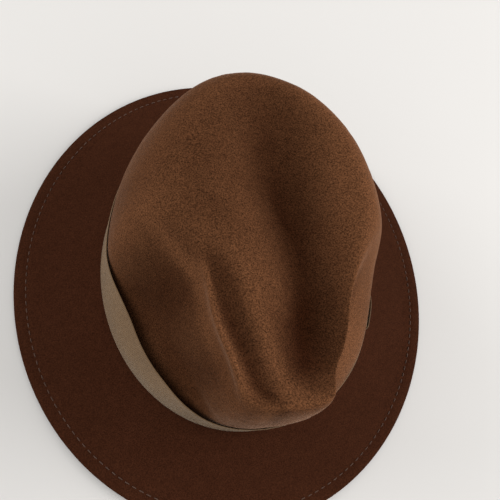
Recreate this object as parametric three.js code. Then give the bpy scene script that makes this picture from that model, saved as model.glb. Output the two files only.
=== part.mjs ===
// A pinch-front fedora. Millimetres, +Z up, the front of the hat faces -Y and the wearer's
// left is +X. The hat rests on its brim at z = 0 with the middle of the crown over the origin.
import * as THREE from 'three';

// ---- Driving sizes ----------------------------------------------------------------------

const HEAD_LENGTH = 198.2; // inside the sweatband, front to back: a 57 cm head
const HEAD_WIDTH = 164; // inside the sweatband, side to side

const LEATHER = 0.8; // sweatband leather
const SEAM_SPACE = 1; // room behind the leather for the seam thread
const COLLAR_FELT = 1.6; // the brim's upstanding collar
const CROWN_FELT = 1.8;
const BRIM_FELT = 1.8;
const RIBBON = 0.6;
const SATIN = 0.5;
const GAP = 0.3; // clearance between pieces that touch
const THREAD = 0.5;

const BRIM_WIDTH = 55.7; // crown to edge
const BRIM_DROP = 10.2; // top of the brim, crown to edge
const WELT_THICKNESS = 3.6; // the doubled edge, from its flat underside to the top
const WELT_WIDTH = 9;
const STITCH_INSET = 7.6; // brim edge to the row of stitches
const EDGE_ROUND = 1.2; // how far in the brim's rounded edge starts
const COLLAR_HEIGHT = 12;

const CROWN_HEIGHT = 119.5; // from the break to the rear of the top
const FRONT_DROP = 8; // how much lower the front of the top is
const CROWN_LEAN = 4.5; // the top's rear stands this far behind the base
const STRAIGHT_WALL = 45; // height of the lower, straight part of the wall
const SIDE_TAPER = 0.14; // inward lean of the wall, per unit of height
const FRONT_TAPER = -0.03;
const SIDE_ROUNDING = 26; // how far in the top edge rounds over
const FRONT_ROUNDING = 8;

const PINCH = { right: 26, left: 27 }; // depth of the front pinches
const PINCH_START = { right: [0.05, -0.42], left: [-0.05, -0.55] }; // as shares of the half length
const PINCH_END = { right: [-0.68, -1.09], left: [-0.8, -1.14] };
const PINCH_HEIGHT = 95;
const PINCH_REACH_UP = 30;
const PINCH_REACH_DOWN = { right: 105, left: 31 };
const DENT_DEPTH = 22; // the long dent in the top
const DENT_WIDTH = 21;
const DENT_CENTRE = 8; // the dent's middle, towards the wearer's left
const DENT_BEND = 9; // how much further to the left it swings at the pinches
const CREASE_DEPTH = 6.5; // the narrow crease beside the right pinch
const CREASE_WIDTH = 5.5;

const BAND_HEIGHT = 36;
const BAND_SHARE = 0.43; // how much of the pinch the taut ribbon follows
const BOW_ANGLE = -12; // degrees, from the wearer's left towards the front
const BOW_LENGTH = 68;
const BOW_HEIGHT = 30;
const BOW_THICKNESS = 2;
const KNOT_LENGTH = 15;

const SWEATBAND_HEIGHT = 34;
const REED_DIAMETER = 2.2;
const LINING_ROOM = 1.6; // between the crown's inside and the lining
const LINING_SLACK = 3; // the lining hangs this much further from the top of the crown
const LINING_HEM_ROW = 2; // the row of the wall where the lining's hem is, behind the sweatband
const LINING_SEAM_ROW = 5; // the row of the top edge where the lining's side meets its tip

const COLUMNS = 48;
const WALL_ROWS = 4;
const SHOULDER_ROWS = 10;
const TOP_ROWS = 8;

// ---- Sizes that follow ------------------------------------------------------------------

const STACK = LEATHER + SEAM_SPACE + COLLAR_FELT + GAP + CROWN_FELT;
const BASE_Y = HEAD_LENGTH / 2 + STACK; // the crown's outside at the break
const BASE_X = HEAD_WIDTH / 2 + STACK;
const BREAK = WELT_THICKNESS + BRIM_DROP; // height of the break above the table
const LINING_INSET = CROWN_FELT + LINING_ROOM; // the crown's outside to the outside of the lining
const CROWN_BASE = GAP; // all heights from here on are measured from the break
const BAND_BASE = 2 * GAP;
const BAND_FACE = GAP + RIBBON; // the ribbon's outside, from the crown's outside
const LEATHER_FACE = -(STACK - LEATHER); // the leather's outside, from the crown's outside
const REED_CENTRE = REED_DIAMETER / 2;
const LEATHER_BASE = REED_CENTRE + REED_DIAMETER / 2 + GAP;

// ---- The hat's surfaces -----------------------------------------------------------------

const DEGREE = Math.PI / 180;

function smooth(from, to, value) {
  const t = Math.min(Math.max((value - from) / (to - from), 0), 1);
  return t * t * (3 - 2 * t);
}

function bell(distance, width) {
  return Math.exp(-((distance / width) ** 2));
}

function overLength([from, to], y) {
  return smooth(from * BASE_Y, to * BASE_Y, y);
}

// How far the front pinches push a point of the open crown towards the middle. The front edge
// and the rear half keep their shape.

function pinchDepth(x, y, z) {
  const side = x < 0 ? 'right' : 'left';
  const reach = z < PINCH_HEIGHT ? PINCH_REACH_DOWN[side] : PINCH_REACH_UP;
  const height = bell(z - PINCH_HEIGHT, reach) * smooth(COLLAR_HEIGHT, STRAIGHT_WALL, z);
  const along = overLength(PINCH_START[side], y) * (1 - overLength(PINCH_END[side], y));
  return PINCH[side] * along * height * smooth(0.06 * BASE_X, 0.51 * BASE_X, Math.abs(x));
}

// The creases a hatter presses into the plain, open crown.
function creased(point, share = 1) {
  const { x, y, z } = point;
  const across = x - Math.sign(x) * pinchDepth(x, y, z) * share;
  const top = smooth(0.59 * CROWN_HEIGHT, 0.84 * CROWN_HEIGHT, z);
  const dentCentre = DENT_CENTRE + DENT_BEND * bell(y + 0.42 * BASE_Y, 45);
  const dentAlong = smooth(-0.995 * BASE_Y, -0.6 * BASE_Y, y) * (1 - 0.95 * smooth(-5, 0.94 * BASE_Y, y));
  const dentWidth = DENT_WIDTH * (1.075 + 0.0015 * y);
  const dent = DENT_DEPTH * dentAlong * bell(across - dentCentre, dentWidth);
  const creaseCentre = -0.354 * BASE_X - 0.27 * (0.373 * BASE_Y + y);
  const creaseAlong = smooth(-0.19 * BASE_Y, -0.44 * BASE_Y, y) * smooth(-1.01 * BASE_Y, -0.88 * BASE_Y, y);
  const crease = CREASE_DEPTH * creaseAlong * bell(across - creaseCentre, CREASE_WIDTH);
  return new THREE.Vector3(across, y, z - (dent + crease) * top);
}

// The open crown around the oval: its height, taper, rounding and rearward lean.
function openCrown(angle) {
  const sine = Math.sin(angle);
  const front = smooth(0.2, 1, -sine);
  return {
    height: CROWN_HEIGHT - FRONT_DROP * ((1 - sine) / 2) ** 2,
    taper: SIDE_TAPER + (FRONT_TAPER - SIDE_TAPER) * front,
    rounding: SIDE_ROUNDING + (FRONT_ROUNDING - SIDE_ROUNDING) * front,
    lean: CROWN_LEAN * (1 + sine) / 2,
  };
}

function ovalPoint(angle, out, z, shift = 0) {
  return new THREE.Vector3((BASE_X + out) * Math.cos(angle), (BASE_Y + out) * Math.sin(angle) + shift, z);
}

// A point beside the straight wall: `out` from the crown's outside, at a height.
function wallPoint(angle, out, z, share = 1) {
  const { height, taper, lean } = openCrown(angle);
  return creased(ovalPoint(angle, out - taper * z, z, lean * z / height), share);
}

// A point of the brim: above the break its collar stands against the wall.
function brimPoint(angle, out, z) {
  return z > 0 ? wallPoint(angle, out, z) : ovalPoint(angle, out, z);
}

// A point on the rounded top edge, from the wall (turn 0) to the flat of the top (turn 1).
function shoulderPoint(angle, inset, slack, turn) {
  const { height, taper, rounding, lean } = openCrown(angle);
  const rise = height - inset - slack - STRAIGHT_WALL;
  const z = STRAIGHT_WALL + rise * Math.sin(turn * Math.PI / 2);
  const inwards = inset + taper * z + rounding * (1 - Math.cos(turn * Math.PI / 2));
  return ovalPoint(angle, -inwards, z, lean * z / height);
}

function topPoint(angle, inset, slack, spread) {
  const edge = shoulderPoint(angle, inset, slack, 1);
  const middle = new THREE.Vector3(0, CROWN_LEAN / 2, CROWN_HEIGHT - inset - slack);
  const point = edge.clone().sub(middle).multiplyScalar(spread).add(middle);
  point.z = middle.z + (edge.z - middle.z) * spread ** 2;
  return point;
}

// ---- Solids -----------------------------------------------------------------------------

function anglesAround(count = COLUMNS) {
  return Array.from({ length: count }, (_, i) => i / count * 2 * Math.PI);
}

function between(from, to, steps) {
  return Array.from({ length: steps + 1 }, (_, i) => from + (to - from) * i / steps);
}

function solid(points, triangles) {
  const geometry = new THREE.BufferGeometry();
  geometry.setAttribute('position', new THREE.Float32BufferAttribute(points.flatMap(p => [p.x, p.y, p.z]), 3));
  geometry.setIndex(triangles);
  geometry.computeVertexNormals();
  return geometry;
}

// A four-sided face, counter-clockwise, split from its first corner or from its second.
function quad(triangles, [a, b, c, d], second = false) {
  triangles.push(...(second ? [b, c, d, b, d, a] : [a, b, c, a, c, d]));
}

// Quads between loop `a` and loop `b`, each a closed list of point numbers.
function strip(triangles, a, b, second = () => false) {
  a.forEach((_, i) => {
    const j = (i + 1) % a.length;
    quad(triangles, [a[i], a[j], b[j], b[i]], second(i, j));
  });
}

// The faces of a sheet that stands up are all split the same way, so that sheets nest.
function rises(section) {
  return (i, j) => section[j][1] > section[i][1];
}

// A closed section, counter-clockwise in (out, z), carried around the whole oval.
function ring(section, place, angles = anglesAround()) {
  const points = angles.flatMap(angle => section.map(([out, z]) => place(angle, out, z)));
  const triangles = [];
  const size = section.length;
  const loop = column => section.map((_, k) => (column % angles.length) * size + k);
  for (let i = 0; i < angles.length; i += 1) {
    strip(triangles, loop(i + 1), loop(i), rises(section));
  }
  return solid(points, triangles);
}

// The same section carried over part of the oval, with an end face at each end.
function band(section, place, angles) {
  const points = angles.flatMap(angle => section.map(([out, z]) => place(angle, out, z)));
  const triangles = [];
  const size = section.length;
  const last = (angles.length - 1) * size;
  for (let i = 0; i < angles.length - 1; i += 1) {
    const loop = column => section.map((_, k) => column * size + k);
    strip(triangles, loop(i + 1), loop(i), rises(section));
  }
  const flat = section.map(([out, z]) => new THREE.Vector2(out, z));
  for (const [a, b, c] of THREE.ShapeUtils.triangulateShape(flat, [])) {
    triangles.push(a, b, c);
    triangles.push(last + c, last + b, last + a);
  }
  return solid(points, triangles);
}

// A dome-shaped sheet: rows of points from the hem to the middle, outside and inside.
function dome(rows, inset, thickness, slack = 0) {
  const angles = anglesAround();
  const points = [];
  const skin = (depth) => rows.map((row) => {
    const start = points.length;
    const spots = row.middle ? [0] : angles;
    points.push(...spots.map(angle => row.place(angle, depth, slack)));
    return spots.map((_, i) => start + i);
  });
  const outside = skin(inset);
  const inside = skin(inset + thickness);
  const triangles = [];
  const fan = (loop, tip) => loop.forEach((point, i) => triangles.push(point, loop[(i + 1) % loop.length], tip));
  const closed = rows.at(-1).middle;
  for (let r = 1; r < rows.length - (closed ? 1 : 0); r += 1) {
    strip(triangles, outside[r - 1], outside[r]);
    strip(triangles, inside[r], inside[r - 1], () => true);
  }
  strip(triangles, inside[0], outside[0]);
  if (closed) {
    fan(outside.at(-2), outside.at(-1)[0]);
    fan(inside.at(-2).toReversed(), inside.at(-1)[0]);
  } else {
    strip(triangles, outside.at(-1), inside.at(-1));
  }
  return solid(points, triangles);
}

const wallRow = z => ({ place: (angle, inset) => wallPoint(angle, -inset, z) });
const shoulderRow = turn => ({ place: (...skin) => creased(shoulderPoint(...skin, turn)) });
const topRow = spread => ({ place: (...skin) => creased(topPoint(...skin, spread)) });
const middleRow = { ...topRow(0), middle: true };

// The rows of every sheet that follows the crown, so that nested sheets have matching facets.
const wallHeights = between(CROWN_BASE, STRAIGHT_WALL, WALL_ROWS);
const wallRows = wallHeights.map(wallRow);
const shoulderTurns = between(0, 1, SHOULDER_ROWS);
const flatRows = between(1, 0, TOP_ROWS).slice(1, -1).map(topRow);

function box(outFrom, outTo, low, high) {
  return [[outFrom, low], [outTo, low], [outTo, high], [outFrom, high]];
}

// The heights of the rows of the wall between two heights, and those two themselves.
function heightsBetween(low, high) {
  return [low, ...wallHeights.filter(z => z > low + 1 && z < high - 1), high];
}

// A tall thin section with a point at the height of each row of the wall that it passes.
function sheet(outFrom, outTo, low, high) {
  const heights = heightsBetween(low, high);
  return [...heights.map(z => [outTo, z]), ...heights.toReversed().map(z => [outFrom, z])];
}

function round(out, z, diameter, sides) {
  return Array.from({ length: sides }, (_, i) => {
    const turn = (i + 0.5) / sides * 2 * Math.PI;
    return [out + diameter / 2 * Math.cos(turn), z + diameter / 2 * Math.sin(turn)];
  });
}

// ---- Materials --------------------------------------------------------------------------

const finish = (color, roughness) => new THREE.MeshStandardMaterial({ color, roughness, metalness: 0 });

const crownFelt = () => finish('#4b2e1c', 0.95);
const brimFelt = () => finish('#3a1f14', 0.95);
const ribbonCloth = () => finish('#8a745c', 0.8);
const threadCotton = () => finish('#8c6a4e', 0.8);
const leather = () => finish('#6b4226', 0.55);
const reedPlastic = () => finish('#d8cdb8', 0.5);
const satin = () => finish('#6a4a35', 0.4);
const labelCloth = () => finish('#d9d2c4', 0.8);

// ---- Pieces -----------------------------------------------------------------------------

const hat = new THREE.Group();
hat.name = 'fedora_hat';
hat.position.z = BREAK;

function add(name, geometry, material) {
  const mesh = new THREE.Mesh(geometry, material);
  mesh.name = name;
  hat.add(mesh);
}

function brimTop(out) {
  const left = Math.max(1 - out / BRIM_WIDTH, 0);
  return -BRIM_DROP * (1 - left ** 1.4);
}

function brimSection() {
  const table = -BREAK;
  const collarOut = -(CROWN_FELT + GAP);
  const collarIn = collarOut - COLLAR_FELT;
  const weltIn = BRIM_WIDTH - WELT_WIDTH;
  const stitch = BRIM_WIDTH - STITCH_INSET;
  const groove = table + 2 * GAP + THREAD;
  const top = [0.1, 0.3, 0.5, 0.7, 0.86].map(share => [share * BRIM_WIDTH, brimTop(share * BRIM_WIDTH)]);
  const underside = [0.75, 0.5, 0.28, 0.12].map((share) => {
    const out = share * BRIM_WIDTH;
    return [out, brimTop(out) - BRIM_FELT];
  });
  return [
    [collarIn, COLLAR_HEIGHT],
    [collarIn, 0],
    [collarIn + BRIM_FELT / 2, -BRIM_FELT * 1.2],
    ...underside.toReversed(),
    [weltIn, brimTop(weltIn) - BRIM_FELT],
    [weltIn, groove],
    [stitch + THREAD, groove],
    [stitch + 2 * THREAD, table],
    [BRIM_WIDTH - EDGE_ROUND, table],
    [BRIM_WIDTH - EDGE_ROUND / 6, table + 0.3 * WELT_THICKNESS],
    [BRIM_WIDTH, table + 0.5 * WELT_THICKNESS],
    [BRIM_WIDTH - EDGE_ROUND / 6, table + 0.7 * WELT_THICKNESS],
    [BRIM_WIDTH - EDGE_ROUND, brimTop(BRIM_WIDTH - EDGE_ROUND)],
    ...top.toReversed(),
    [collarOut, 0],
    [collarOut, COLLAR_HEIGHT],
  ];
}

function addFelt() {
  const crownRows = [
    ...wallRows,
    ...shoulderTurns.slice(1).map(shoulderRow),
    ...flatRows,
    middleRow,
  ];
  add('crown', dome(crownRows, 0, CROWN_FELT), crownFelt());
  add('brim', ring(brimSection(), brimPoint), brimFelt());
  const seamFace = -(CROWN_FELT + GAP + COLLAR_FELT + GAP);
  const seam = box(seamFace - (SEAM_SPACE - 2 * GAP), seamFace, COLLAR_HEIGHT / 2, COLLAR_HEIGHT / 2 + THREAD);
  add('crown_brim_seam', ring(seam, wallPoint), threadCotton());
}

function addBrimStitching() {
  const out = BRIM_WIDTH - STITCH_INSET;
  const onTop = brimTop(out - THREAD) + GAP;
  add('brim_stitch_top', ring(box(out - THREAD / 2, out + THREAD / 2, onTop, onTop + THREAD), ovalPoint),
    threadCotton());
  const under = -BREAK + GAP;
  add('brim_stitch_under', ring(box(out - THREAD / 2, out + THREAD / 2, under, under + THREAD), ovalPoint),
    threadCotton());
}

function addHatband() {
  const place = (angle, out, z) => wallPoint(angle, out, z, BAND_SHARE);
  const section = sheet(GAP, BAND_FACE, BAND_BASE, BAND_BASE + BAND_HEIGHT);
  add('hatband', ring(section, place), ribbonCloth());
}

// Angles that cover a length of the wall at the side of the hat, measured along the ribbon.
function sideAngles(centreDegrees, length, steps) {
  const half = length / 2 / BASE_Y;
  const centre = centreDegrees * DEGREE;
  return between(centre - half, centre + half, steps);
}

function addBow() {
  const place = (angle, out, z) => wallPoint(angle, out, z, BAND_SHARE);
  const middle = BAND_BASE + BAND_HEIGHT / 2;
  const low = middle - BOW_HEIGHT / 2;
  const face = BAND_FACE + 3 * GAP;
  const waist = angle => 1 - 0.45 * bell((angle - BOW_ANGLE * DEGREE) * BASE_Y, KNOT_LENGTH / 2);
  const puffed = (angle, out, z) => place(angle, face + (out - face) * waist(angle), z);
  const high = low + BOW_HEIGHT;
  const edgeShare = 0.6; // the loops are thinner at their edges
  const loops = sheet(face, face + BOW_THICKNESS, low, high).map(([out, z]) => {
    const share = z === low || z === high ? edgeShare : 1;
    return [face + (out - face) * share, z];
  });
  add('bow_loops', band(loops, puffed, sideAngles(BOW_ANGLE, BOW_LENGTH, 12)), ribbonCloth());
  const cover = face + BOW_THICKNESS + GAP;
  const heights = heightsBetween(low - GAP, high + GAP);
  const knot = [
    [face, low - GAP - RIBBON],
    [cover + RIBBON, low - GAP - RIBBON],
    ...heights.slice(1, -1).map(z => [cover + RIBBON, z]),
    [cover + RIBBON, high + GAP + RIBBON],
    [face, high + GAP + RIBBON],
    [face, high + GAP],
    ...heights.toReversed().map(z => [cover, z]),
    [face, low - GAP],
  ];
  add('bow_knot', band(knot, place, sideAngles(BOW_ANGLE, KNOT_LENGTH, 4)), ribbonCloth());
}

// Short hand stitches that hold the ribbon to the felt, just above its upper edge.
function addTacks() {
  const low = BAND_BASE + BAND_HEIGHT + GAP;
  const tack = box(GAP, GAP + THREAD, low, low + THREAD);
  const place = (angle, out, z) => wallPoint(angle, out, z);
  const spots = { rear: 90, right: 165, front: -82, left: 20 };
  for (const [name, degrees] of Object.entries(spots)) {
    add(`hatband_tack_${name}`, band(tack, place, sideAngles(degrees, 3, 1)), threadCotton());
  }
}

function addSweatband() {
  const place = (angle, out, z) => wallPoint(angle, out, z);
  const inner = LEATHER_FACE - LEATHER;
  const top = LEATHER_BASE + SWEATBAND_HEIGHT;
  add('sweatband', ring(sheet(inner, LEATHER_FACE, LEATHER_BASE, top), place), leather());
  const reedOut = LEATHER_FACE - LEATHER / 2;
  add('sweatband_reed', ring(round(reedOut, REED_CENTRE, REED_DIAMETER, 6), place), reedPlastic());
  const row = LEATHER_BASE + 2;
  const stitches = box(inner - GAP - THREAD, inner - GAP, row, row + THREAD);
  add('sweatband_stitch', ring(stitches, place), threadCotton());
  addSweatbandTrim(place, inner - 2 * GAP);
}

// The flat bow over the leather's rear joint, and the blank size label beside it.
function addSweatbandTrim(place, face) {
  const low = LEATHER_BASE + 6;
  const rear = 90;
  const bowHeight = 10;
  const bowLength = 30;
  const flare = angle => 0.55 + 0.45 * smooth(0.1, 0.8, Math.abs(angle - rear * DEGREE) * BASE_Y / bowLength * 2);
  const pulled = (angle, out, z) => place(angle, out, low + bowHeight / 2 + (z - bowHeight / 2) * flare(angle));
  add('sweatband_bow', band(box(face - 1.2, face, 0, bowHeight), pulled, sideAngles(rear, bowLength, 8)),
    ribbonCloth());
  const label = box(face - 0.4, face, low, low + 14);
  add('size_label', band(label, place, sideAngles(rear + 28, 24, 3)), labelCloth());
}

function addLining() {
  const sideRows = [
    ...wallRows.slice(LINING_HEM_ROW),
    ...shoulderTurns.slice(1, LINING_SEAM_ROW + 1).map(shoulderRow),
  ];
  const seamGap = GAP / SIDE_ROUNDING; // in turns of the top edge
  const tipRows = [
    shoulderRow(shoulderTurns[LINING_SEAM_ROW] + seamGap),
    ...shoulderTurns.slice(LINING_SEAM_ROW + 1).map(shoulderRow),
    ...flatRows,
    middleRow,
  ];
  add('lining_side', dome(sideRows, LINING_INSET, SATIN, LINING_SLACK), satin());
  add('lining_tip', dome(tipRows, LINING_INSET, SATIN, LINING_SLACK), satin());
}

addFelt();
addBrimStitching();
addHatband();
addBow();
addTacks();
addSweatband();
addLining();

export default hat;
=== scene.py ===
import math

import bpy
import numpy as np
from mathutils import Matrix, Vector, noise


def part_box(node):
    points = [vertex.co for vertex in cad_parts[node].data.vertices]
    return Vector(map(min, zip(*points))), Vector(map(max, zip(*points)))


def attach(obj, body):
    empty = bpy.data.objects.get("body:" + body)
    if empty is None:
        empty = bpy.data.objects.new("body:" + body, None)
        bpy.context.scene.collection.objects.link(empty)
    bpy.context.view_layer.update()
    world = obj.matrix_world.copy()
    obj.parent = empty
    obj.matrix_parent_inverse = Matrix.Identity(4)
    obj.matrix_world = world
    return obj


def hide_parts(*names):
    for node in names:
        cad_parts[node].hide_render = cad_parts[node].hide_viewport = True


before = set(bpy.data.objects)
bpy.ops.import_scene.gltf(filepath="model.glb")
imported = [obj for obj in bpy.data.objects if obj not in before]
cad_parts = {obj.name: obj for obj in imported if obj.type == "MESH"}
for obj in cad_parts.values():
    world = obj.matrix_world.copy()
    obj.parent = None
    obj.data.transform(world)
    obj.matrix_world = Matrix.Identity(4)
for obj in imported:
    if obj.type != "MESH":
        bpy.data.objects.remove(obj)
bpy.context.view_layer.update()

MM = 0.001

# ---- Driving sizes, as in the CAD model ---------------------------------------------------

GAP = 0.3
LEATHER = 0.8
SEAM_SPACE = 1.0
COLLAR_FELT = 1.6
CROWN_FELT = 1.8
BRIM_FELT = 1.8
RIBBON = 0.6
SATIN = 0.5
THREAD = 0.5
BRIM_WIDTH = 55.7
BRIM_DROP = 10.2
WELT_THICKNESS = 3.6
WELT_WIDTH = 9.0
STITCH_INSET = 7.6
COLLAR_HEIGHT = 12.0
CROWN_HEIGHT = 119.5
FRONT_DROP = 8.0
CROWN_LEAN = 4.5
STRAIGHT_WALL = 45.0
SIDE_TAPER, FRONT_TAPER = 0.14, -0.03
SIDE_ROUNDING, FRONT_ROUNDING = 26.0, 8.0
PINCH_RIGHT, PINCH_LEFT = 26.0, 27.0
PINCH_HEIGHT = 95.0
PINCH_REACH_UP = 30.0
PINCH_REACH_DOWN_RIGHT, PINCH_REACH_DOWN_LEFT = 105.0, 31.0
# Where each pinch starts and ends along the hat, in shares of the crown's half length.
PINCH_START_RIGHT, PINCH_START_LEFT = (0.05, -0.42), (-0.05, -0.55)
PINCH_END_RIGHT, PINCH_END_LEFT = (-0.68, -1.09), (-0.8, -1.14)
DENT_DEPTH, DENT_WIDTH = 22.0, 21.0
DENT_CENTRE, DENT_BEND = 8.0, 9.0
CREASE_DEPTH, CREASE_WIDTH = 6.5, 5.5
BAND_SHARE = 0.43
BOW_ANGLE = math.radians(-12)
BOW_LENGTH, BOW_HEIGHT, BOW_THICKNESS = 68.0, 30.0, 2.0
BOW_GAP = 0.7
LOOP_FULLNESS = 0.5  # how much further the loops stand out in their middle
KNOT_LENGTH = 15.0
SWEATBAND_HEIGHT = 34.0
REED_DIAMETER = 2.2
LINING_INSET = CROWN_FELT + 1.6
LINING_SLACK = 3.0
LINING_HEM = 22.6
LINING_SEAM = 0.5
RELIEF = 2.0  # how far a ridge stands out where its painted highlight is fullest
EDGE_PASSES = 14  # how often the crown's edges are evened out
RELIEF_PASSES = 80  # and how often to find the even shape that ridges stand out from
# the painted shade that a hollow gets from its depth goes no further than this
DEEPEST_RELIEF = -0.3

# ---- Places from the frame ----------------------------------------------------------------

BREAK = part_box("crown")[0].z / MM - GAP
BASE_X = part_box("brim")[1].x / MM - BRIM_WIDTH
BASE_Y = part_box("brim")[1].y / MM - BRIM_WIDTH
BAND_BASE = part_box("hatband")[0].z / MM - BREAK
BAND_HEIGHT = (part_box("hatband")[1].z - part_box("hatband")[0].z) / MM
TABLE = -BREAK
LEATHER_FACE = -(SEAM_SPACE + COLLAR_FELT + GAP + CROWN_FELT)
LEATHER_INSIDE = LEATHER_FACE - LEATHER
LEATHER_BASE = REED_DIAMETER + GAP
BAND_FACE = GAP + RIBBON
STITCH_OUT = BRIM_WIDTH - STITCH_INSET


# ---- The hat's surfaces -------------------------------------------------------------------

def smooth(start, end, value):
    t = np.clip((value - start) / (end - start), 0, 1)
    return t * t * (3 - 2 * t)


def bell(distance, width):
    return np.exp(-((distance / width) ** 2))


def sweep(shares, y):
    """From 0 to 1 between two places along the hat, in shares of the crown's half length."""
    return smooth(shares[0] * BASE_Y, shares[1] * BASE_Y, y)


def crease_line(y):
    """Where the narrow crease beside the right pinch runs, as x."""
    return -0.354 * BASE_X - 0.27 * (0.373 * BASE_Y + y)


def pinch_depth(x, y, z):
    """How far the front pinches push a point of the open crown towards the middle."""
    start = np.where(x < 0, sweep(PINCH_START_RIGHT, y), sweep(PINCH_START_LEFT, y))
    end = np.where(x < 0, sweep(PINCH_END_RIGHT, y), sweep(PINCH_END_LEFT, y))
    along = start * (1 - end)
    down = np.where(x < 0, PINCH_REACH_DOWN_RIGHT, PINCH_REACH_DOWN_LEFT)
    reach = np.where(z < PINCH_HEIGHT, down, PINCH_REACH_UP)
    height = bell(z - PINCH_HEIGHT, reach) * smooth(COLLAR_HEIGHT, STRAIGHT_WALL, z)
    depth = np.where(x < 0, PINCH_RIGHT, PINCH_LEFT)
    return depth * along * height * smooth(0.06 * BASE_X, 0.51 * BASE_X, np.abs(x))


def creased(points, share=1.0):
    """The creases that a hatter presses into the plain, open crown."""
    x, y, z = points[..., 0], points[..., 1], points[..., 2]
    across = x - np.sign(x) * pinch_depth(x, y, z) * share
    top = smooth(0.59 * CROWN_HEIGHT, 0.84 * CROWN_HEIGHT, z)
    dent_centre = DENT_CENTRE + DENT_BEND * bell(y + 0.42 * BASE_Y, 45)
    dent_along = sweep((-0.995, -0.6), y) * (1 - 0.95 * smooth(-5, 0.94 * BASE_Y, y))
    dent_width = DENT_WIDTH * (1.075 + 0.0015 * y)
    dent = DENT_DEPTH * dent_along * bell(across - dent_centre, dent_width)
    crease_along = sweep((-0.19, -0.44), y) * sweep((-1.01, -0.88), y)
    crease = CREASE_DEPTH * crease_along * bell(across - crease_line(y), CREASE_WIDTH)
    return np.stack([across, y, z - (dent + crease) * top], -1)


def open_crown(angle):
    """The open crown's height, taper, rounding and rearward lean around the oval."""
    sine = np.sin(angle)
    front = smooth(0.2, 1, -sine)
    height = CROWN_HEIGHT - FRONT_DROP * ((1 - sine) / 2) ** 2
    taper = SIDE_TAPER + (FRONT_TAPER - SIDE_TAPER) * front
    rounding = SIDE_ROUNDING + (FRONT_ROUNDING - SIDE_ROUNDING) * front
    return height, taper, rounding, CROWN_LEAN * (1 + sine) / 2


def oval(angle, out, z, shift=0.0):
    x = (BASE_X + out) * np.cos(angle)
    y = (BASE_Y + out) * np.sin(angle) + shift
    return np.stack(np.broadcast_arrays(x, y, z), -1)


def wall(angle, out, z, share=1.0):
    """A point beside the straight wall: `out` from the crown's outside, at a height."""
    height, taper, _, lean = open_crown(angle)
    return creased(oval(angle, out - taper * z, z, lean * z / height), share)


def taut(angle, out, z):
    """A point beside the wall as a tight ribbon spans it."""
    return wall(angle, out, z, BAND_SHARE)


def shoulder(angle, inset, slack, turn):
    """A point on the rounded top edge, from the wall (turn 0) to the flat of the top (turn 1)."""
    height, taper, rounding, lean = open_crown(angle)
    quarter = turn * math.pi / 2
    z = STRAIGHT_WALL + (height - inset - slack - STRAIGHT_WALL) * np.sin(quarter)
    inwards = inset + taper * z + rounding * (1 - np.cos(quarter))
    return oval(angle, -inwards, z, lean * z / height)


def flat_top(angle, inset, slack, spread):
    edge = shoulder(angle, inset, slack, 1.0)
    middle = np.array([0, CROWN_LEAN / 2, CROWN_HEIGHT - inset - slack])
    points = middle + (edge - middle) * spread[..., None]
    points[..., 2] = middle[2] + (edge[..., 2] - middle[2]) * spread ** 2
    return points


def around(count):
    return np.arange(count) / count * 2 * math.pi


def dome_rows(columns, inset, slack, walls=(), turns=(), spreads=()):
    """Rows of points from the hem upwards, each a loop around the crown."""
    angle = around(columns)[None, :]
    rows = []
    if len(walls):
        rows.append(wall(angle, -inset, np.asarray(walls)[:, None]))
    if len(turns):
        rows.append(creased(shoulder(angle, inset, slack, np.asarray(turns)[:, None])))
    if len(spreads):
        spread = np.broadcast_to(np.asarray(spreads)[:, None], (len(spreads), columns))
        rows.append(creased(flat_top(angle, inset, slack, spread)))
    return np.concatenate(rows)


def relaxed(rows, times):
    """The rows with small steps in their slope evened out; the first and last row stay."""
    for _ in range(times):
        rows = (np.roll(rows, 1, 1) + 2 * rows + np.roll(rows, -1, 1)) / 4
        rows[1:-1] = (rows[:-2] + 2 * rows[1:-1] + rows[2:]) / 4
    return rows


def normals_of(rows):
    """Outward unit normals of a grid whose rows are closed loops."""
    along = np.roll(rows, -1, 1) - np.roll(rows, 1, 1)
    up = np.gradient(rows, axis=0)
    normal = np.cross(along, up)
    return normal / np.maximum(np.linalg.norm(normal, axis=-1, keepdims=True), 1e-9)


def lumps(points, size, seed):
    """Smooth noise from about -1 to 1, with lumps of about `size` millimetres."""
    offset = Vector((seed * 17.3, seed * 5.1, seed * 9.7))
    flat = (points.reshape(-1, 3) / size).tolist()
    values = [noise.noise(Vector(p) + offset) for p in flat]
    return np.array(values).reshape(points.shape[:-1])


# ---- Meshes -------------------------------------------------------------------------------

def add_values(piece, name, values):
    """Stores one number for each vertex, for a material to read."""
    attribute = piece.data.attributes.new(name, "FLOAT", "POINT")
    attribute.data.foreach_set("value", np.asarray(values, np.float32).ravel())


def piece_of(name, points, faces, look, nodes, sharp=60):
    """A mesh object in metres, which rides on the hat's body and stands for CAD nodes."""
    mesh = bpy.data.meshes.new(name)
    in_metres = points.reshape(-1, 3) * MM + np.array([0, 0, BREAK * MM])
    mesh.from_pydata(in_metres.tolist(), [], [list(map(int, face)) for face in faces])
    mesh.polygons.foreach_set("use_smooth", np.ones(len(mesh.polygons), bool))
    mesh.set_sharp_from_angle(angle=math.radians(sharp))
    mesh.materials.append(look)
    piece = bpy.data.objects.new(name, mesh)
    bpy.context.scene.collection.objects.link(piece)
    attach(piece, "root")
    if nodes:
        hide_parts(*nodes)
    return piece


def loop_faces(rows, columns, first=0, closed_rows=False):
    """Quads of a grid whose rows are closed loops; closed_rows joins the last row to the first."""
    r, c = np.meshgrid(np.arange(rows if closed_rows else rows - 1), np.arange(columns), indexing="ij")
    a = first + r * columns + c
    b = first + r * columns + (c + 1) % columns
    step = np.where(r == rows - 1, -(rows - 1) * columns, columns)
    return np.stack([a, b, b + step, a + step], -1).reshape(-1, 4)


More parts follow.
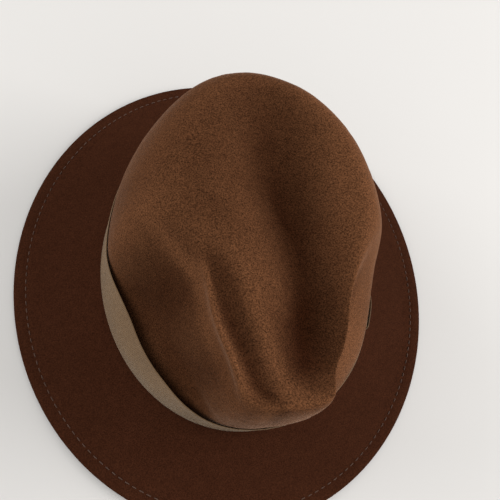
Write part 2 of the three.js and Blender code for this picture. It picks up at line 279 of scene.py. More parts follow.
def sheet_faces(rows, columns, first=0):
    """Quads of an open grid."""
    r, c = np.meshgrid(np.arange(rows - 1), np.arange(columns - 1), indexing="ij")
    a = first + r * columns + c
    return np.stack([a, a + 1, a + 1 + columns, a + columns], -1).reshape(-1, 4)


def fan_faces(loop, tip, flip=False):
    following = np.roll(loop, -1)
    fan = [(a, b, tip) for a, b in zip(loop, following)]
    return [face[::-1] for face in fan] if flip else fan


def shell(outer, inner, closed_top):
    """A closed dome-shaped solid from its outer and inner rows, hem first."""
    columns = outer.shape[1]
    points = [outer.reshape(-1, 3), inner.reshape(-1, 3)]
    start = outer.shape[0] * columns
    faces = list(loop_faces(outer.shape[0], columns))
    faces += list(loop_faces(inner.shape[0], columns, start)[:, ::-1])
    ring = np.arange(columns)
    faces += [(start + i, start + (i + 1) % columns, (i + 1) % columns, i) for i in ring]
    outer_end, inner_end = start - columns, start + (inner.shape[0] - 1) * columns
    if closed_top:
        tip = start + inner.shape[0] * columns
        points += [outer[-1].mean(0, keepdims=True), inner[-1].mean(0, keepdims=True)]
        faces += fan_faces(outer_end + ring, tip)
        faces += fan_faces(inner_end + ring, tip + 1, flip=True)
    else:
        faces += [(outer_end + i, outer_end + (i + 1) % columns,
                   inner_end + (i + 1) % columns, inner_end + i) for i in ring]
    return np.concatenate(points), faces


def thicken(piece, thickness):
    """Gives a sheet its thickness, half to each side."""
    solid = piece.modifiers.new("thickness", "SOLIDIFY")
    solid.thickness = thickness * MM
    solid.offset = 0
    solid.use_even_offset = True


def length_of(points):
    return np.linalg.norm(np.diff(points, axis=0), axis=1).sum()


def even_angles(row, pitch):
    """Angles that space a row of stitches evenly, and their number."""
    fine = np.linspace(0, 2 * math.pi, 2001)
    reached = np.concatenate([[0], np.cumsum(np.linalg.norm(np.diff(row(fine, 0.0), axis=0), axis=1))])
    count = int(round(reached[-1] / pitch))
    return np.interp(np.arange(count) / count * reached[-1], reached, fine)


def stitch_points(row, angles, length, diameter, steps=11, sides=8):
    """Two-ply stitches that lie along a row and dive into the cloth at both ends.

    row(angle, lift) is the row's own point at an angle, raised off the cloth by lift."""
    tiny = 1e-3
    centre = row(angles, 0.0)
    along = row(angles + tiny, 0.0) - row(angles - tiny, 0.0)
    along /= np.linalg.norm(along, axis=1, keepdims=True)
    up = row(angles, 1.0) - centre
    up /= np.linalg.norm(up, axis=1, keepdims=True)
    side = np.cross(up, along)
    t = np.linspace(-1, 1, steps)
    wobble = np.array([noise.noise(Vector((i * 1.7, 0.5, 3.1))) for i in range(len(angles))])
    reach = t[None, :] * (length / 2) * (1 + 0.12 * wobble[:, None])
    lift = diameter * (0.42 - 1.5 * np.abs(t) ** 5)[None, :]
    lean = 0.25 * diameter * wobble[:, None] * t[None, :]
    line = (centre[:, None] + reach[..., None] * along[:, None] + lift[..., None] * up[:, None]
            + lean[..., None] * side[:, None])
    turn = around(sides)
    twist = t[:, None] * 2.6
    radius = diameter / 2 * (1 + 0.14 * np.cos(2 * (turn[None, :] + twist)))
    ring = (np.cos(turn)[None, None, :, None] * side[:, None, None]
            + np.sin(turn)[None, None, :, None] * up[:, None, None])
    points = line[:, :, None] + ring * radius[None, :, :, None]
    faces = []
    ends = [list(range(sides)), list(range((steps - 1) * sides, steps * sides))[::-1]]
    tube = loop_faces(steps, sides)
    for i in range(len(angles)):
        first = i * steps * sides
        faces += list(tube[:, ::-1] + first)
        faces += [[k + first for k in end] for end in ends]
    return points.reshape(-1, 3), faces


# ---- Materials ----------------------------------------------------------------------------

def linear(red, green, blue):
    """An sRGB colour, 0 to 255, as a shader takes it."""
    return [((c / 255 + 0.055) / 1.055) ** 2.4 if c > 10 else c / 255 / 12.92 for c in (red, green, blue)]


class Look:
    """A procedural material: each method adds nodes and returns the socket that they end in."""

    def __init__(self, name, **sockets):
        self.material = bpy.data.materials.new(name)
        self.material.use_nodes = True
        self.tree = self.material.node_tree
        self.shader = self.tree.nodes["Principled BSDF"]
        for socket, value in sockets.items():
            self.shader.inputs[socket.replace("_", " ")].default_value = value
        self.place = self.tree.nodes.new("ShaderNodeTexCoord")

    def add(self, kind, inputs, output=0, **settings):
        node = self.tree.nodes.new(kind)
        for setting, value in settings.items():
            setattr(node, setting, value)
        for socket, value in inputs.items():
            if isinstance(value, bpy.types.NodeSocket):
                self.tree.links.new(value, node.inputs[socket])
            else:
                node.inputs[socket].default_value = value
        return node.outputs[output]

    def stretched(self, scale, source="Object"):
        return self.add("ShaderNodeMapping", {"Vector": self.place.outputs[source], "Scale": scale})

    def noise(self, size, detail=2.0, roughness=0.5, stretch=(1, 1, 1), source="Object", distortion=0.0):
        """Noise with features of about `size` millimetres, longer where stretch is larger."""
        scale = [1 / (size * MM * s) for s in stretch]
        return self.add("ShaderNodeTexNoise", {
            "Vector": self.stretched(scale, source), "Scale": 1.0, "Detail": detail,
            "Roughness": roughness, "Distortion": distortion})

    def cells(self, size, stretch=(1, 1, 1), feature="F1"):
        scale = [1 / (size * MM * s) for s in stretch]
        return self.add("ShaderNodeTexVoronoi", {"Vector": self.stretched(scale), "Scale": 1.0},
                        feature=feature)

    def ribs(self, pitch, axis):
        """Ridges across a cloth whose UV map is in metres; from 0 to 1."""
        place = self.add("ShaderNodeSeparateXYZ", {"Vector": self.place.outputs["UV"]}, axis)
        turn = self.math("MULTIPLY", place, 2 * math.pi / (pitch * MM))
        return self.between(self.math("SINE", turn), -1, 1)

    def math(self, operation, a, b=0.0):
        return self.add("ShaderNodeMath", {0: a, 1: b}, operation=operation)

    def between(self, value, low, high, to_low=0.0, to_high=1.0):
        return self.add("ShaderNodeMapRange", {
            "Value": value, "From Min": low, "From Max": high, "To Min": to_low, "To Max": to_high})

    def mixed(self, factor, a, b):
        pair = {6: a if isinstance(a, bpy.types.NodeSocket) else (*a, 1.0),
                7: b if isinstance(b, bpy.types.NodeSocket) else (*b, 1.0)}
        return self.add("ShaderNodeMix", {0: factor, **pair}, 2, data_type="RGBA")

    def bump(self, height, depth, over=None):
        """A bump of `depth` millimetres, on top of another."""
        inputs = {"Height": height, "Strength": 1.0, "Distance": depth * MM}
        if over is not None:
            inputs["Normal"] = over
        return self.add("ShaderNodeBump", inputs)

    def finish(self, colour=None, roughness=None, normal=None):
        for socket, value in (("Base Color", colour), ("Roughness", roughness), ("Normal", normal)):
            if value is not None:
                self.tree.links.new(value, self.shader.inputs[socket])
        return self.material


def felt(name, dark, light, fuzz, fibre, grain, sheen, sheen_tint, painted_shading=0.0, shade=(1, 1, 1)):
    """Fur or wool felt: mottled colour, a speckle of lighter fibre ends, and a soft nap.

    Where the painted-shading strength isn't 0, the colour carries painted highlight on the ridges and
    painted shade in the hollows."""
    look = Look(name, Specular_IOR_Level=0.02, Sheen_Weight=sheen, Sheen_Roughness=0.18,
                Sheen_Tint=(*sheen_tint, 1.0))
    cloud = look.between(look.noise(30, 3.0, 0.55), 0.3, 0.7, 0.3, 0.7)
    patch = look.between(look.noise(5, 2.0, 0.6), 0.3, 0.7, 0.2, 0.8)
    tone = look.math("ADD", look.math("MULTIPLY", cloud, 0.5), look.math("MULTIPLY", patch, 0.5))
    colour = look.mixed(tone, dark, light)
    if painted_shading:
        # Painted light and shade: a per-vertex map darkens hollows towards the shade tint as painted shade.
        painted_shade_and_light = look.add("ShaderNodeAttribute", {}, 2, attribute_name="painted_shade_and_light")
        painted_shade_colour = look.add("ShaderNodeVectorMath", {0: colour, 1: shade}, operation="MULTIPLY")
        colour = look.mixed(look.between(painted_shade_and_light, 0, -1.2, 0, painted_shading), colour, painted_shade_colour)
        # Painted highlight: the same map lightens the ridges.
        colour = look.mixed(look.between(painted_shade_and_light, 0, 1, 0, 0.7), colour, [1.6 * c for c in light])
    ends = look.noise(fibre, 1.5, 0.6)
    speckle = look.between(ends, 0.3, 0.7, 1 - fuzz, 1 + fuzz)
    colour = look.add("ShaderNodeVectorMath", {"Vector": colour, "Scale": speckle}, operation="SCALE")
    lying = look.noise(0.5 * fibre, 2.0, 0.6, stretch=(1, 1, 3.2))
    normal = look.bump(lying, 0.5 * grain)
    normal = look.bump(ends, grain, normal)
    rough = look.between(patch, 0, 1, 0.88, 0.98)
    return look.finish(colour, rough, normal)


def ribbon_look(name, light, dark, pitch):
    """Grosgrain: close ribs across the ribbon, over fine warp threads."""
    look = Look(name, Specular_IOR_Level=0.25, Sheen_Weight=0.25, Sheen_Roughness=0.4,
                Sheen_Tint=(0.9, 0.82, 0.7, 1.0))
    ribs = look.ribs(pitch, 0)
    warp = look.ribs(0.28, 1)
    cloud = look.between(look.noise(24, 2.0, 0.5), 0.35, 0.65)
    slub = look.between(look.noise(1.2, 2.0, 0.6, stretch=(1, 1, 6)), 0.3, 0.7)
    tone = look.math("ADD", look.math("MULTIPLY", cloud, 0.25), look.math("MULTIPLY", slub, 0.6))
    colour = look.mixed(tone, dark, light)
    colour = look.mixed(look.between(ribs, 0.0, 0.5, 0.45, 0.0), colour, [0.55 * c for c in dark])
    normal = look.bump(warp, 0.03)
    normal = look.bump(ribs, 0.05, normal)
    return look.finish(colour, look.between(slub, 0, 1, 0.62, 0.78), normal)


def thread_look(name, light, dark):
    look = Look(name, Specular_IOR_Level=0.3, Sheen_Weight=0.2, Sheen_Roughness=0.5)
    tone = look.between(look.noise(3.0, 3.0, 0.7), 0.3, 0.7)
    fibres = look.noise(0.18, 2.0, 0.6, stretch=(1, 2.5, 1))
    return look.finish(look.mixed(tone, dark, light), look.between(fibres, 0.3, 0.7, 0.6, 0.85),
                       look.bump(fibres, 0.05))


def leather_look(name, light, dark):
    """Smooth roan: fine pebbled grain, pores, and a darker mottle."""
    look = Look(name, Specular_IOR_Level=0.45, Coat_Weight=0.08, Coat_Roughness=0.35)
    grain = look.cells(0.9)
    fine = look.cells(0.35)
    mottle = look.between(look.noise(16, 4.0, 0.6), 0.3, 0.7)
    pores = look.between(grain, 0.0, 0.25, 0.6, 0.0)
    colour = look.mixed(mottle, dark, light)
    colour = look.mixed(pores, colour, [0.5 * c for c in dark])
    normal = look.bump(fine, 0.03)
    normal = look.bump(grain, 0.07, normal)
    return look.finish(colour, look.between(mottle, 0, 1, 0.5, 0.38), normal)


def satin_look(name, light, dark):
    look = Look(name, Specular_IOR_Level=0.6, Anisotropic=0.6, Sheen_Weight=0.15, Sheen_Roughness=0.3)
    floats = look.noise(0.3, 1.0, 0.5, stretch=(1, 1, 7))
    cloud = look.between(look.noise(30, 3.0, 0.5), 0.3, 0.7)
    return look.finish(look.mixed(cloud, dark, light), look.between(floats, 0.3, 0.7, 0.3, 0.42),
                       look.bump(floats, 0.03))


def woven_look(name, light, dark):
    look = Look(name, Specular_IOR_Level=0.2, Sheen_Weight=0.1)
    over, under = look.ribs(0.5, 0), look.ribs(0.5, 1)
    weave = look.math("MULTIPLY", over, under)
    return look.finish(look.mixed(weave, dark, light), look.between(weave, 0, 1, 0.9, 0.75),
                       look.bump(weave, 0.05))


def reed_look(name, light, dark):
    look = Look(name, Specular_IOR_Level=0.4)
    grain = look.noise(2.0, 3.0, 0.6, stretch=(3, 3, 1))
    return look.finish(look.mixed(look.between(grain, 0.3, 0.7), dark, light),
                       look.between(grain, 0.3, 0.7, 0.45, 0.6), look.bump(grain, 0.04))


# The crown's felt has painted shade in its hollows, tinted by shade, and painted highlight on its ridges.
CROWN_LOOK = felt("crown_felt", linear(60, 34, 19), linear(80, 51, 32), fuzz=0.62, fibre=0.72,
                  grain=0.2, sheen=0.3, sheen_tint=(0.95, 0.62, 0.45), painted_shading=1.0,
                  shade=(0.3, 0.19, 0.13))
BRIM_LOOK = felt("brim_felt", linear(50, 25, 14), linear(63, 35, 22), fuzz=0.4, fibre=0.7,
                 grain=0.12, sheen=0.08, sheen_tint=(0.8, 0.5, 0.38))
RIBBON_LOOK = ribbon_look("ribbon", linear(122, 95, 66), linear(97, 73, 48), pitch=0.9)
BOW_LOOK = ribbon_look("ribbon_bow", linear(112, 86, 59), linear(88, 66, 43), pitch=0.9)
THREAD_LOOK = thread_look("thread", linear(82, 55, 39), linear(64, 41, 28))
LEATHER_LOOK = leather_look("leather", linear(120, 72, 42), linear(86, 48, 27))
SATIN_LOOK = satin_look("satin", linear(104, 74, 54), linear(84, 58, 42))
LABEL_LOOK = woven_look("label", linear(216, 209, 196), linear(186, 178, 164))
REED_LOOK = reed_look("reed", linear(96, 60, 38), linear(74, 44, 27))


# ---- Felt ---------------------------------------------------------------------------------

def make_crown():
    columns = 420
    walls = np.linspace(GAP, STRAIGHT_WALL, 40)
    turns = np.linspace(0, 1, 61)[1:]
    spreads = np.linspace(1, 0, 51)[1:-1]
    outer = dome_rows(columns, 0.0, 0.0, walls, turns, spreads)
    outer = relaxed(outer, EDGE_PASSES)
    free = smooth(BAND_BASE + BAND_HEIGHT - 2, BAND_BASE + BAND_HEIGHT + 14, outer[..., 2])
    uneven = 0.55 * lumps(outer, 42, 1) + 0.22 * lumps(outer, 15, 2) + 0.1 * lumps(outer, 4.5, 3)
    outer = outer + normals_of(outer) * (uneven * free)[..., None]
    inner = dome_rows(columns, CROWN_FELT, 0.0, walls[::4], turns[::4], spreads[::4])
    points, faces = shell(outer, inner, closed_top=True)
    piece = piece_of("felt_crown", points, faces, CROWN_LOOK, ["crown"])
    # Painted light and shade: felt that stands out from an evened copy gets painted highlight, felt that
    # sinks in gets painted shade, plus the painted highlights and shade of the pinch, dent and sides.
    even = relaxed(outer, RELIEF_PASSES)
    standing = ((outer - even) * normals_of(outer)).sum(-1) / RELIEF
    painted_shade_and_light = np.maximum(standing, DEEPEST_RELIEF) + painted_light_and_shade(outer)
    add_values(piece, "painted_shade_and_light", np.concatenate([painted_shade_and_light.ravel(), np.zeros(len(points) - painted_shade_and_light.size)]))


def pinch_ridge(y):
    """The edge between the right pinch and the top, where a painted highlight runs, as x: it follows the
    narrow crease, bows out a little beside it, and swings out towards the side behind it."""
    behind = 0.45 * np.maximum(y + 0.33 * BASE_Y, 0)
    return crease_line(y) - 6.5 - 1.8 * bell(y + 0.593 * BASE_Y, 15) - behind + 7 * sweep((-0.84, -0.95), y)


def painted_light_and_shade(points):
    """Painted light and shade on the crown: below 0 is painted shade in the hollows, above 0 painted
    highlight on the ridge, the plateau beside it and the wearer's left side.
    """
    x, y, share = points[..., 0], points[..., 1], points[..., 2] / CROWN_HEIGHT
    top = smooth(0.6, 0.75, share)
    front = sweep((0.04, -0.24), y)
    beside = x - pinch_ridge(y)
    # Painted highlight along the pinch's ridge and on the plateau beside it; painted shade in the narrow
    # crease, the dent's valley and the pinch's hollow; painted light on the wearer's left side.
    painted_ridge_highlight = 0.8 * bell(beside, 3.5) + 0.7 * bell(beside, 2.4) * bell(y + 0.287 * BASE_Y, 20)
    painted_crease_shade = 0.4 * bell(beside - 6, 3.6) * sweep((-0.402, -0.612), y)
    painted_plateau_light = 0.4 * bell(beside - 18, 8)
    valley_shade_centre = 12.5 * bell(y + 0.38 * BASE_Y, 52)
    valley_shade_strength = 0.75 * sweep((-0.92, -0.76), y) * (1 - 0.8 * sweep((-0.48, 0.72), y))
    painted_valley_shade = top * valley_shade_strength * bell(x - valley_shade_centre, 11)
    painted_pinch_shade = 0.6 * front * sweep((-1.0, -0.65), y) * smooth(1, -20, beside) * smooth(0.2, 0.65, share)
    painted_left_side_light = 0.75 * smooth(15, 45, x) * smooth(0.4, 0.65, share)
    return top * front * (painted_ridge_highlight + painted_plateau_light - painted_crease_shade) + painted_left_side_light - painted_valley_shade - painted_pinch_shade


def brim_top(out):
    left = np.maximum(1 - out / BRIM_WIDTH, 0)
    return -BRIM_DROP * (1 - left ** 1.4)


def brim_section():
    """The brim's section, counter-clockwise in (out, z), from the collar's foot inside."""
    collar_out = -(CROWN_FELT + GAP)
    collar_in = collar_out - COLLAR_FELT
    welt_in = BRIM_WIDTH - WELT_WIDTH
    groove = TABLE + 2 * GAP + THREAD
    layer = TABLE + WELT_THICKNESS / 2
    corner = 0.7
    collar = [(collar_in, z) for z in np.linspace(COLLAR_HEIGHT, 0, 8)]
    under = [(out, brim_top(out) - BRIM_FELT) for out in np.linspace(2, welt_in - 0.3, 34)]
    welt = [(welt_in, brim_top(welt_in) - BRIM_FELT - 0.2), (welt_in + 0.1, groove + 0.3),
            (welt_in + 0.5, groove), (STITCH_OUT + THREAD, groove), (STITCH_OUT + THREAD + 0.4, TABLE + 0.3),
            (STITCH_OUT + THREAD + 0.8, TABLE)]
    flat = [(out, TABLE) for out in np.linspace(STITCH_OUT + 2.5, BRIM_WIDTH - 1.2, 5)]
    lower = [(BRIM_WIDTH - corner * (1 - math.sin(a)), TABLE + corner * (1 - math.cos(a)))
             for a in np.linspace(0.3, math.pi / 2, 5)]
    seam = [(BRIM_WIDTH - 0.05, layer - 0.3), (BRIM_WIDTH - 0.4, layer), (BRIM_WIDTH - 0.05, layer + 0.3)]
    edge_top = brim_top(BRIM_WIDTH - corner)
    upper = [(BRIM_WIDTH - corner * (1 - math.cos(a)), edge_top - corner * (1 - math.sin(a)))
             for a in np.linspace(0, math.pi / 2 - 0.2, 5)]
    top = [(out, brim_top(out)) for out in np.linspace(BRIM_WIDTH - corner - 0.5, 0.3, 78)]
    foot = [(collar_out, z) for z in np.linspace(0, COLLAR_HEIGHT, 8)]
    return np.array(collar + [(collar_in + 1.2, -BRIM_FELT - 0.4)] + under + welt + flat + lower
                    + seam + upper + top + foot)


def make_brim():
    columns = 540
    angle = around(columns)[None, :]
    out, z = brim_section().T[:, :, None]
    points = np.where((z > 0)[..., None], wall(angle, out, z), oval(angle, out, z))
    topside = (z > brim_top(out) - 0.4) & (out > 1)
    spare = smooth(2, 14, out) * smooth(BRIM_WIDTH - 3, BRIM_WIDTH - 16, out)
    wave = (0.7 * lumps(points, 90, 4) + 0.25 * lumps(points, 26, 5)) * spare
    nap = 0.05 * lumps(points, 4, 6) * topside
    groove = np.where(topside, 0.28 * bell(out - STITCH_OUT, 1.1), 0.0)
    puff = np.where(topside, 0.18 * bell(out - BRIM_WIDTH + 3.5, 2.6), 0.0)
    points[..., 2] += wave + nap - groove + puff * (out < BRIM_WIDTH - 0.8)
    faces = loop_faces(len(out), columns, closed_rows=True)
    return piece_of("felt_brim", points, faces, BRIM_LOOK, ["brim"], sharp=50)


# ---- Stitches -----------------------------------------------------------------------------

def make_stitches(name, node, row, pitch, length, diameter, angles=None):
    angles = even_angles(row, pitch) if angles is None else angles
    points, faces = stitch_points(row, angles, length, diameter)
    return piece_of(name, points, faces, THREAD_LOOK, [node], sharp=80)


def brim_stitch_row(angle, lift):
    return oval(angle, STITCH_OUT, brim_top(STITCH_OUT) - 0.2 + lift)


def under_stitch_row(angle, lift):
    return oval(angle, STITCH_OUT, TABLE + 2 * GAP + THREAD - lift)


def seam_row(angle, lift):
    face = -(CROWN_FELT + GAP + COLLAR_FELT)
    return wall(angle, face - lift, COLLAR_HEIGHT / 2)


def sweatband_row(angle, lift):
    return wall(angle, LEATHER_INSIDE - lift, LEATHER_BASE + 2.2)


def tack_row(angle, lift):
    return wall(angle, GAP * 0.5 + lift, BAND_BASE + BAND_HEIGHT + GAP)


def make_all_stitches():
    make_stitches("stitches_brim_top", "brim_stitch_top", brim_stitch_row, 4.9, 3.1, 0.55)
    make_stitches("stitches_brim_under", "brim_stitch_under", under_stitch_row, 4.9, 3.1, 0.5)
    make_stitches("stitches_crown_seam", "crown_brim_seam", seam_row, 5.5, 4.0, 0.45)
    make_stitches("stitches_sweatband", "sweatband_stitch", sweatband_row, 3.2, 2.4, 0.4)
    for name, degrees in {"rear": 90, "right": 165, "front": -82, "left": 20}.items():
        node = f"hatband_tack_{name}"
        make_stitches(f"tack_{name}", node, tack_row, 1, 2.4, 0.4, np.array([math.radians(degrees)]))


# ---- Ribbon -------------------------------------------------------------------------------

def with_map(piece, along, up):
    """A UV map in metres: along the ribbon and across it."""
    layer = piece.data.uv_layers.new(name="cloth")
    corners = np.empty(len(piece.data.loops), int)
    piece.data.loops.foreach_get("vertex_index", corners)
    flat = np.stack([along.ravel()[corners], up.ravel()[corners]], -1) * MM
    layer.data.foreach_set("uv", flat.ravel())


def make_hatband():
    """The ribbon around the crown, with its ribs and its two woven edges."""
    ribs, across = 690, 4
    columns = ribs * across
    angle = around(columns)[None, :]
    top = BAND_BASE + BAND_HEIGHT
    outside = np.array([BAND_BASE, BAND_BASE + 0.2, BAND_BASE + 1.2, *np.linspace(BAND_BASE + 4, top - 4, 5),
                        top - 1.2, top - 0.2, top])
    outward = np.array([0.15, 0.3, 0.3, *[0.24] * 5, 0.3, 0.3, 0.15])
    inside = np.array([top, top - 8, BAND_BASE + 8, BAND_BASE])
    heights = np.concatenate([outside, inside])[:, None]
    reach = np.concatenate([outward, [-0.15, -0.3, -0.3, -0.15]])[:, None]
    rib = 0.055 * np.cos(np.arange(columns)[None, :] * 2 * math.pi / across)
    face = np.concatenate([np.ones(len(outside)), np.zeros(len(inside))])[:, None]
    out = GAP + RIBBON / 2 + reach + face * rib
    points = taut(angle, out, np.broadcast_to(heights, (len(heights), columns)))
    ease = smooth(0, BAND_HEIGHT, heights - BAND_BASE)
    flutter = 0.3 * lumps(points * [1, 1, 0.4], 34, 7) * ease
    points += flutter[..., None] * oval_normal(angle)
    faces = loop_faces(len(heights), columns, closed_rows=True)
    piece = piece_of("ribbon_band", points, faces, RIBBON_LOOK, ["hatband"], sharp=70)
    middle = taut(np.append(angle[0], 2 * math.pi), GAP, BAND_BASE + BAND_HEIGHT / 2)
    around_it = length_of(middle)
    along = np.broadcast_to(np.arange(columns)[None, :] / columns * around_it, (len(heights), columns))
    with_map(piece, along, np.broadcast_to(heights, along.shape))


def oval_normal(angle):
    normal = np.stack([np.cos(angle) * BASE_Y, np.sin(angle) * BASE_X, 0 * angle], -1)
    return normal / np.linalg.norm(normal, axis=-1, keepdims=True)


def strap(name, along, out, half, middle, look, nodes, thickness, gathers=0.0):
    """A strip of ribbon beside the wall. along and out list its path, in millimetres from the
    bow's middle and from the crown; half is its half height at each place of the path."""
    rows = 15
    share = np.linspace(-1, 1, rows)[:, None]
    pleats = gathers * np.cos(share * 2.5 * math.pi) * bell(along, 9)[None, :]
    angle = BOW_ANGLE + along[None, :] / BASE_Y
    heights = middle + share * half[None, :]
    points = taut(np.broadcast_to(angle, heights.shape), out[None, :] + pleats, heights)
    piece = piece_of(name, points, sheet_faces(rows, len(along)), look, nodes, sharp=180)
    thicken(piece, thickness)
    path = np.stack([along, out], -1)
    reached = np.concatenate([[0], np.cumsum(np.linalg.norm(np.diff(path, axis=0), axis=1))])
    with_map(piece, np.broadcast_to(reached[None, :], heights.shape), heights)
    return piece


def make_bow():
    """The flat bow: one ribbon folded into two loops, and a knot pulled round its waist."""
    face = BAND_FACE + BOW_GAP
    lift = BOW_THICKNESS - RIBBON
    end = BOW_LENGTH / 2 - lift / 2
    fold = np.linspace(-math.pi / 2, math.pi / 2, 14)
    fold_along, fold_out = end + lift / 2 * np.cos(fold), face + lift / 2 + lift / 2 * np.sin(fold)
    under = np.linspace(0, end, 30)[:-1]
    along = np.concatenate([under, fold_along, under[::-1]])
    out = np.concatenate([0 * under + face, fold_out, 0 * under + face + lift])
    outer_layer = out > face + lift / 2
    fullness = LOOP_FULLNESS * bell(along - 0.28 * BOW_LENGTH, 9)
    out = out + (fullness - 0.5 * lift * bell(along, 12)) * outer_layer
    both_along = np.concatenate([-along[::-1][:-1], along])
    both_out = np.concatenate([out[::-1][:-1], out])
    half = BOW_HEIGHT / 2 * (1 - 0.3 * bell(both_along, 10))
    middle = BAND_BASE + BAND_HEIGHT / 2
    strap("ribbon_loops", both_along, both_out, half, middle, BOW_LOOK, ["bow_loops"],
          0.5, gathers=0.35)
    make_knot(face, middle)


def make_knot(face, middle):
    """The knot goes over the loops and back under them, above and below."""
    half_height = BOW_HEIGHT / 2 * 0.74
    cover = face + BOW_THICKNESS + 0.2
    columns, round_it = 25, 72
    turn = around(round_it)[:, None]
    along = np.linspace(-1, 1, columns)[None, :] * KNOT_LENGTH / 2
    crown_of = np.sign(np.sin(turn)) * np.abs(np.sin(turn)) ** 0.35
    depth = np.sign(np.cos(turn)) * np.abs(np.cos(turn)) ** 0.5
    waist = 1 + 0.06 * (2 * along / KNOT_LENGTH) ** 2
    folds = 0.28 * np.cos(along / KNOT_LENGTH * 6 * math.pi) * (depth > 0) * (1 - np.abs(crown_of) ** 6)
    height = middle + half_height * waist * crown_of
    out = (face + cover) / 2 + (cover - face) / 2 * depth + folds
    out, height = np.broadcast_arrays(out, height)
    angle = np.broadcast_to(BOW_ANGLE + along / BASE_Y, out.shape)
    points = taut(angle, out, height)
    faces = []
    for r in range(round_it):
        for c in range(columns - 1):
            a, b = r * columns + c, (r + 1) % round_it * columns + c
            faces.append((a, a + 1, b + 1, b))
    piece = piece_of("ribbon_knot", points, faces, BOW_LOOK, ["bow_knot"], sharp=180)
    thicken(piece, 0.5)
    loop = np.concatenate([points[:, 0], points[:1, 0]])
    reached = np.concatenate([[0], np.cumsum(np.linalg.norm(np.diff(loop, axis=0), axis=1))])
    with_map(piece, np.broadcast_to(reached[:-1, None], out.shape), np.broadcast_to(along, out.shape))


# ---- Inside -------------------------------------------------------------------------------

def make_sweatband():
    columns, rows = 360, 26
    angle = around(columns)[None, :]
    share = np.linspace(0, 1, rows)[:, None]
    z = LEATHER_BASE + share * SWEATBAND_HEIGHT
    out = LEATHER_FACE - LEATHER / 2
    points = wall(angle, out, np.broadcast_to(z, (rows, columns)))
    loose = 0.55 * lumps(points * [1, 1, 0.2], 28, 8) * smooth(0.3, 1, share) - 0.5 * smooth(0.5, 1, share)
    points += np.minimum(loose, 0.2)[..., None] * oval_normal(angle)
    points[..., 2] += 0.3 * lumps(points, 60, 9) * share
    piece = piece_of("leather_sweatband", points, loop_faces(rows, columns), LEATHER_LOOK,
                     ["sweatband"], sharp=180)
    thicken(piece, LEATHER)
    rounded = piece.modifiers.new("edge", "BEVEL")
    rounded.width = 0.3 * MM
    rounded.segments = 2
    rounded.limit_method = "ANGLE"
    rounded.angle_limit = math.radians(60)


def make_reed():
    """The rolled edge of the head opening, with the fine ridges of its wrapping."""
    columns, sides = 900, 16
    angle = around(columns)[None, :]
    turn = around(sides)[:, None]
    ridge = 0.04 * np.cos(np.arange(columns)[None, :] * math.pi / 2 + turn)
    radius = REED_DIAMETER / 2 + ridge
    out = LEATHER_FACE - LEATHER / 2 + radius * np.cos(turn)
    z = REED_DIAMETER / 2 + radius * np.sin(turn)
    points = wall(np.broadcast_to(angle, out.shape), out, z)
    piece_of("reed_roll", points, loop_faces(sides, columns, closed_rows=True), REED_LOOK,
             ["sweatband_reed"], sharp=180)


def make_sweatband_trim():
    """The flat bow over the leather's rear joint, and the blank size label beside it."""
    face = LEATHER_INSIDE - 2 * GAP - 0.5
    low = LEATHER_BASE + 6
    rear = math.pi / 2
    for name, centre, length, height, thickness, waist in (
            ("trim_bow", rear, 30.0, 10.0, 0.9, 0.45),
            ("trim_label", rear + math.radians(28), 24.0, 14.0, 0.35, 0.0)):
        columns, rows = 61, 11
        along = np.linspace(-1, 1, columns)[None, :] * length / 2
        share = np.linspace(-1, 1, rows)[:, None]
        half = height / 2 * (1 - waist * bell(along, length * 0.12))
        heights = low + height / 2 + share * half
        gather = 0.25 * waist * np.cos(share * 2 * math.pi) * bell(along, length * 0.2)
        angle = np.broadcast_to(centre + along / BASE_Y, heights.shape)
        points = wall(angle, face - gather + 0 * heights, heights)
        is_label = waist == 0
        look, slot = (LABEL_LOOK, "label") if is_label else (RIBBON_LOOK, "ribbon")
        node = "size_label" if is_label else "sweatband_bow"
        piece = piece_of(name, points, sheet_faces(rows, columns), look, [node], sharp=180)
        thicken(piece, thickness)
        with_map(piece, np.broadcast_to(along, heights.shape), heights)


def make_lining():
    """Satin in two pieces, gathered a little where the side meets the tip."""
    columns = 300
    seam = LINING_SEAM
    angle = around(columns)
    side_walls = np.linspace(LINING_HEM, STRAIGHT_WALL, 12)
    side_turns = np.linspace(0, seam, 14)[1:]
    tip_turns = np.linspace(seam + 0.012, 1, 14)
    tip_spreads = np.linspace(1, 0, 26)[1:-1]
    folds = 0.45 * np.sin(angle * 52 + 2 * np.sin(angle * 5))[None, :]
    for name, node, walls, turns, spreads in (
            ("satin_side", "lining_side", side_walls, side_turns, ()),
            ("satin_tip", "lining_tip", (), tip_turns, tip_spreads)):
        outer = dome_rows(columns, LINING_INSET, LINING_SLACK, walls, turns, spreads)
        share = np.linspace(0, 1, len(outer))[:, None]
        near_seam = smooth(0.4, 1, share) if name == "satin_side" else smooth(0.3, 0, share)
        push = (0.15 + near_seam) * folds + 0.3 * lumps(outer, 22, 10) - 0.3
        push = np.minimum(push, 0.8) * (1 - 0.8 * smooth(0.7, 1, share) * (name == "satin_tip"))
        outer = outer + normals_of(outer) * push[..., None]
        inner = outer - normals_of(outer) * SATIN * 0.8
        points, faces = shell(outer, inner, closed_top=bool(len(spreads)))
        piece = piece_of(name, points, faces, SATIN_LOOK, [node])
        declare_lining(piece)


def declare_lining(piece):
    """Takes no step and returns at once; the lining's cut, a band for the side and an oval for the tip, is
    not declared.
    """
    if piece.name == "satin_side":
        return


# ---- Floor, light and camera --------------------------------------------------------------

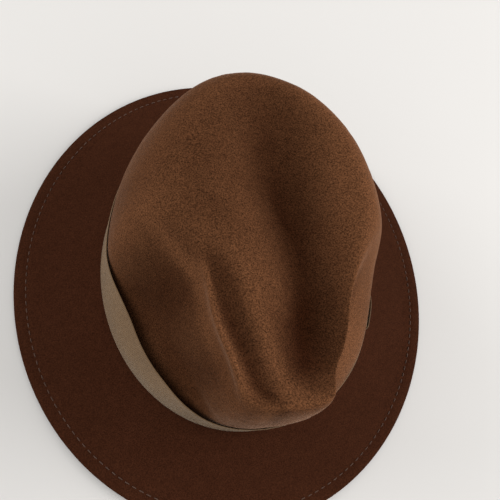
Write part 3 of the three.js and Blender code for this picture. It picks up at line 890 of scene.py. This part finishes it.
def make_floor():
    """A pale floor, a hair lower than the brim's edge so that the two faces don't meet."""
    mesh = bpy.data.meshes.new("floor")
    half, level = 3.0, -0.2 * MM
    corners = [(x * half, y * half, level) for x, y in ((-1, -1), (1, -1), (1, 1), (-1, 1))]
    mesh.from_pydata(corners, [], [(0, 1, 2, 3)])
    look = Look("floor", Specular_IOR_Level=0.3)
    shade = look.between(look.noise(400, 2.0, 0.5), 0.3, 0.7)
    mesh.materials.append(look.finish(look.mixed(shade, (0.665, 0.66, 0.655), (0.68, 0.675, 0.67)),
                                      look.between(shade, 0, 1, 0.6, 0.5)))
    floor = bpy.data.objects.new("floor", mesh)
    bpy.context.scene.collection.objects.link(floor)


def make_light(name, place, size, power, colour):
    """A square soft light that faces the middle of the hat; place is in metres."""
    lamp = bpy.data.lights.new(name, "AREA")
    lamp.size, lamp.energy, lamp.color = size, power, colour
    light = bpy.data.objects.new(name, lamp)
    bpy.context.scene.collection.objects.link(light)
    light.location = place
    light.rotation_euler = (Vector((0, 0, 0.06)) - Vector(place)).to_track_quat("-Z", "Y").to_euler()


def make_lights():
    world = bpy.data.worlds.new("studio")
    world.use_nodes = True
    background = world.node_tree.nodes["Background"]
    background.inputs["Color"].default_value = (1.0, 0.985, 0.96, 1.0)
    background.inputs["Strength"].default_value = 0.79
    bpy.context.scene.world = world
    bpy.context.scene.view_settings.view_transform = "Standard"
    make_light("window", (-2.3, 1.2, 1.1), 1.8, 37, (1.0, 0.98, 0.95))
    make_light("fill", (2.5, -0.1, 0.9), 1.8, 74, (1.0, 0.97, 0.94))


def make_camera():
    """Above the hat's front right, turned about its line of sight."""
    place = Vector((-73.1, -112.5, 342.6 + BREAK)) * MM
    yaw, pitch, roll = math.radians(-34.3), math.radians(24.2), math.radians(29.7)
    lens = bpy.data.cameras.new("camera")
    lens.lens, lens.sensor_width = 38.3, 36.0
    camera = bpy.data.objects.new("camera", lens)
    bpy.context.scene.collection.objects.link(camera)
    turned = Matrix.Rotation(yaw, 4, "Z") @ Matrix.Rotation(pitch, 4, "X") @ Matrix.Rotation(roll, 4, "Z")
    camera.matrix_world = Matrix.Translation(place) @ turned
    bpy.context.scene.camera = camera


make_camera()
make_crown()
make_brim()
make_all_stitches()
make_hatband()
make_bow()
make_sweatband()
make_reed()
make_sweatband_trim()
make_lining()
make_floor()
make_lights()
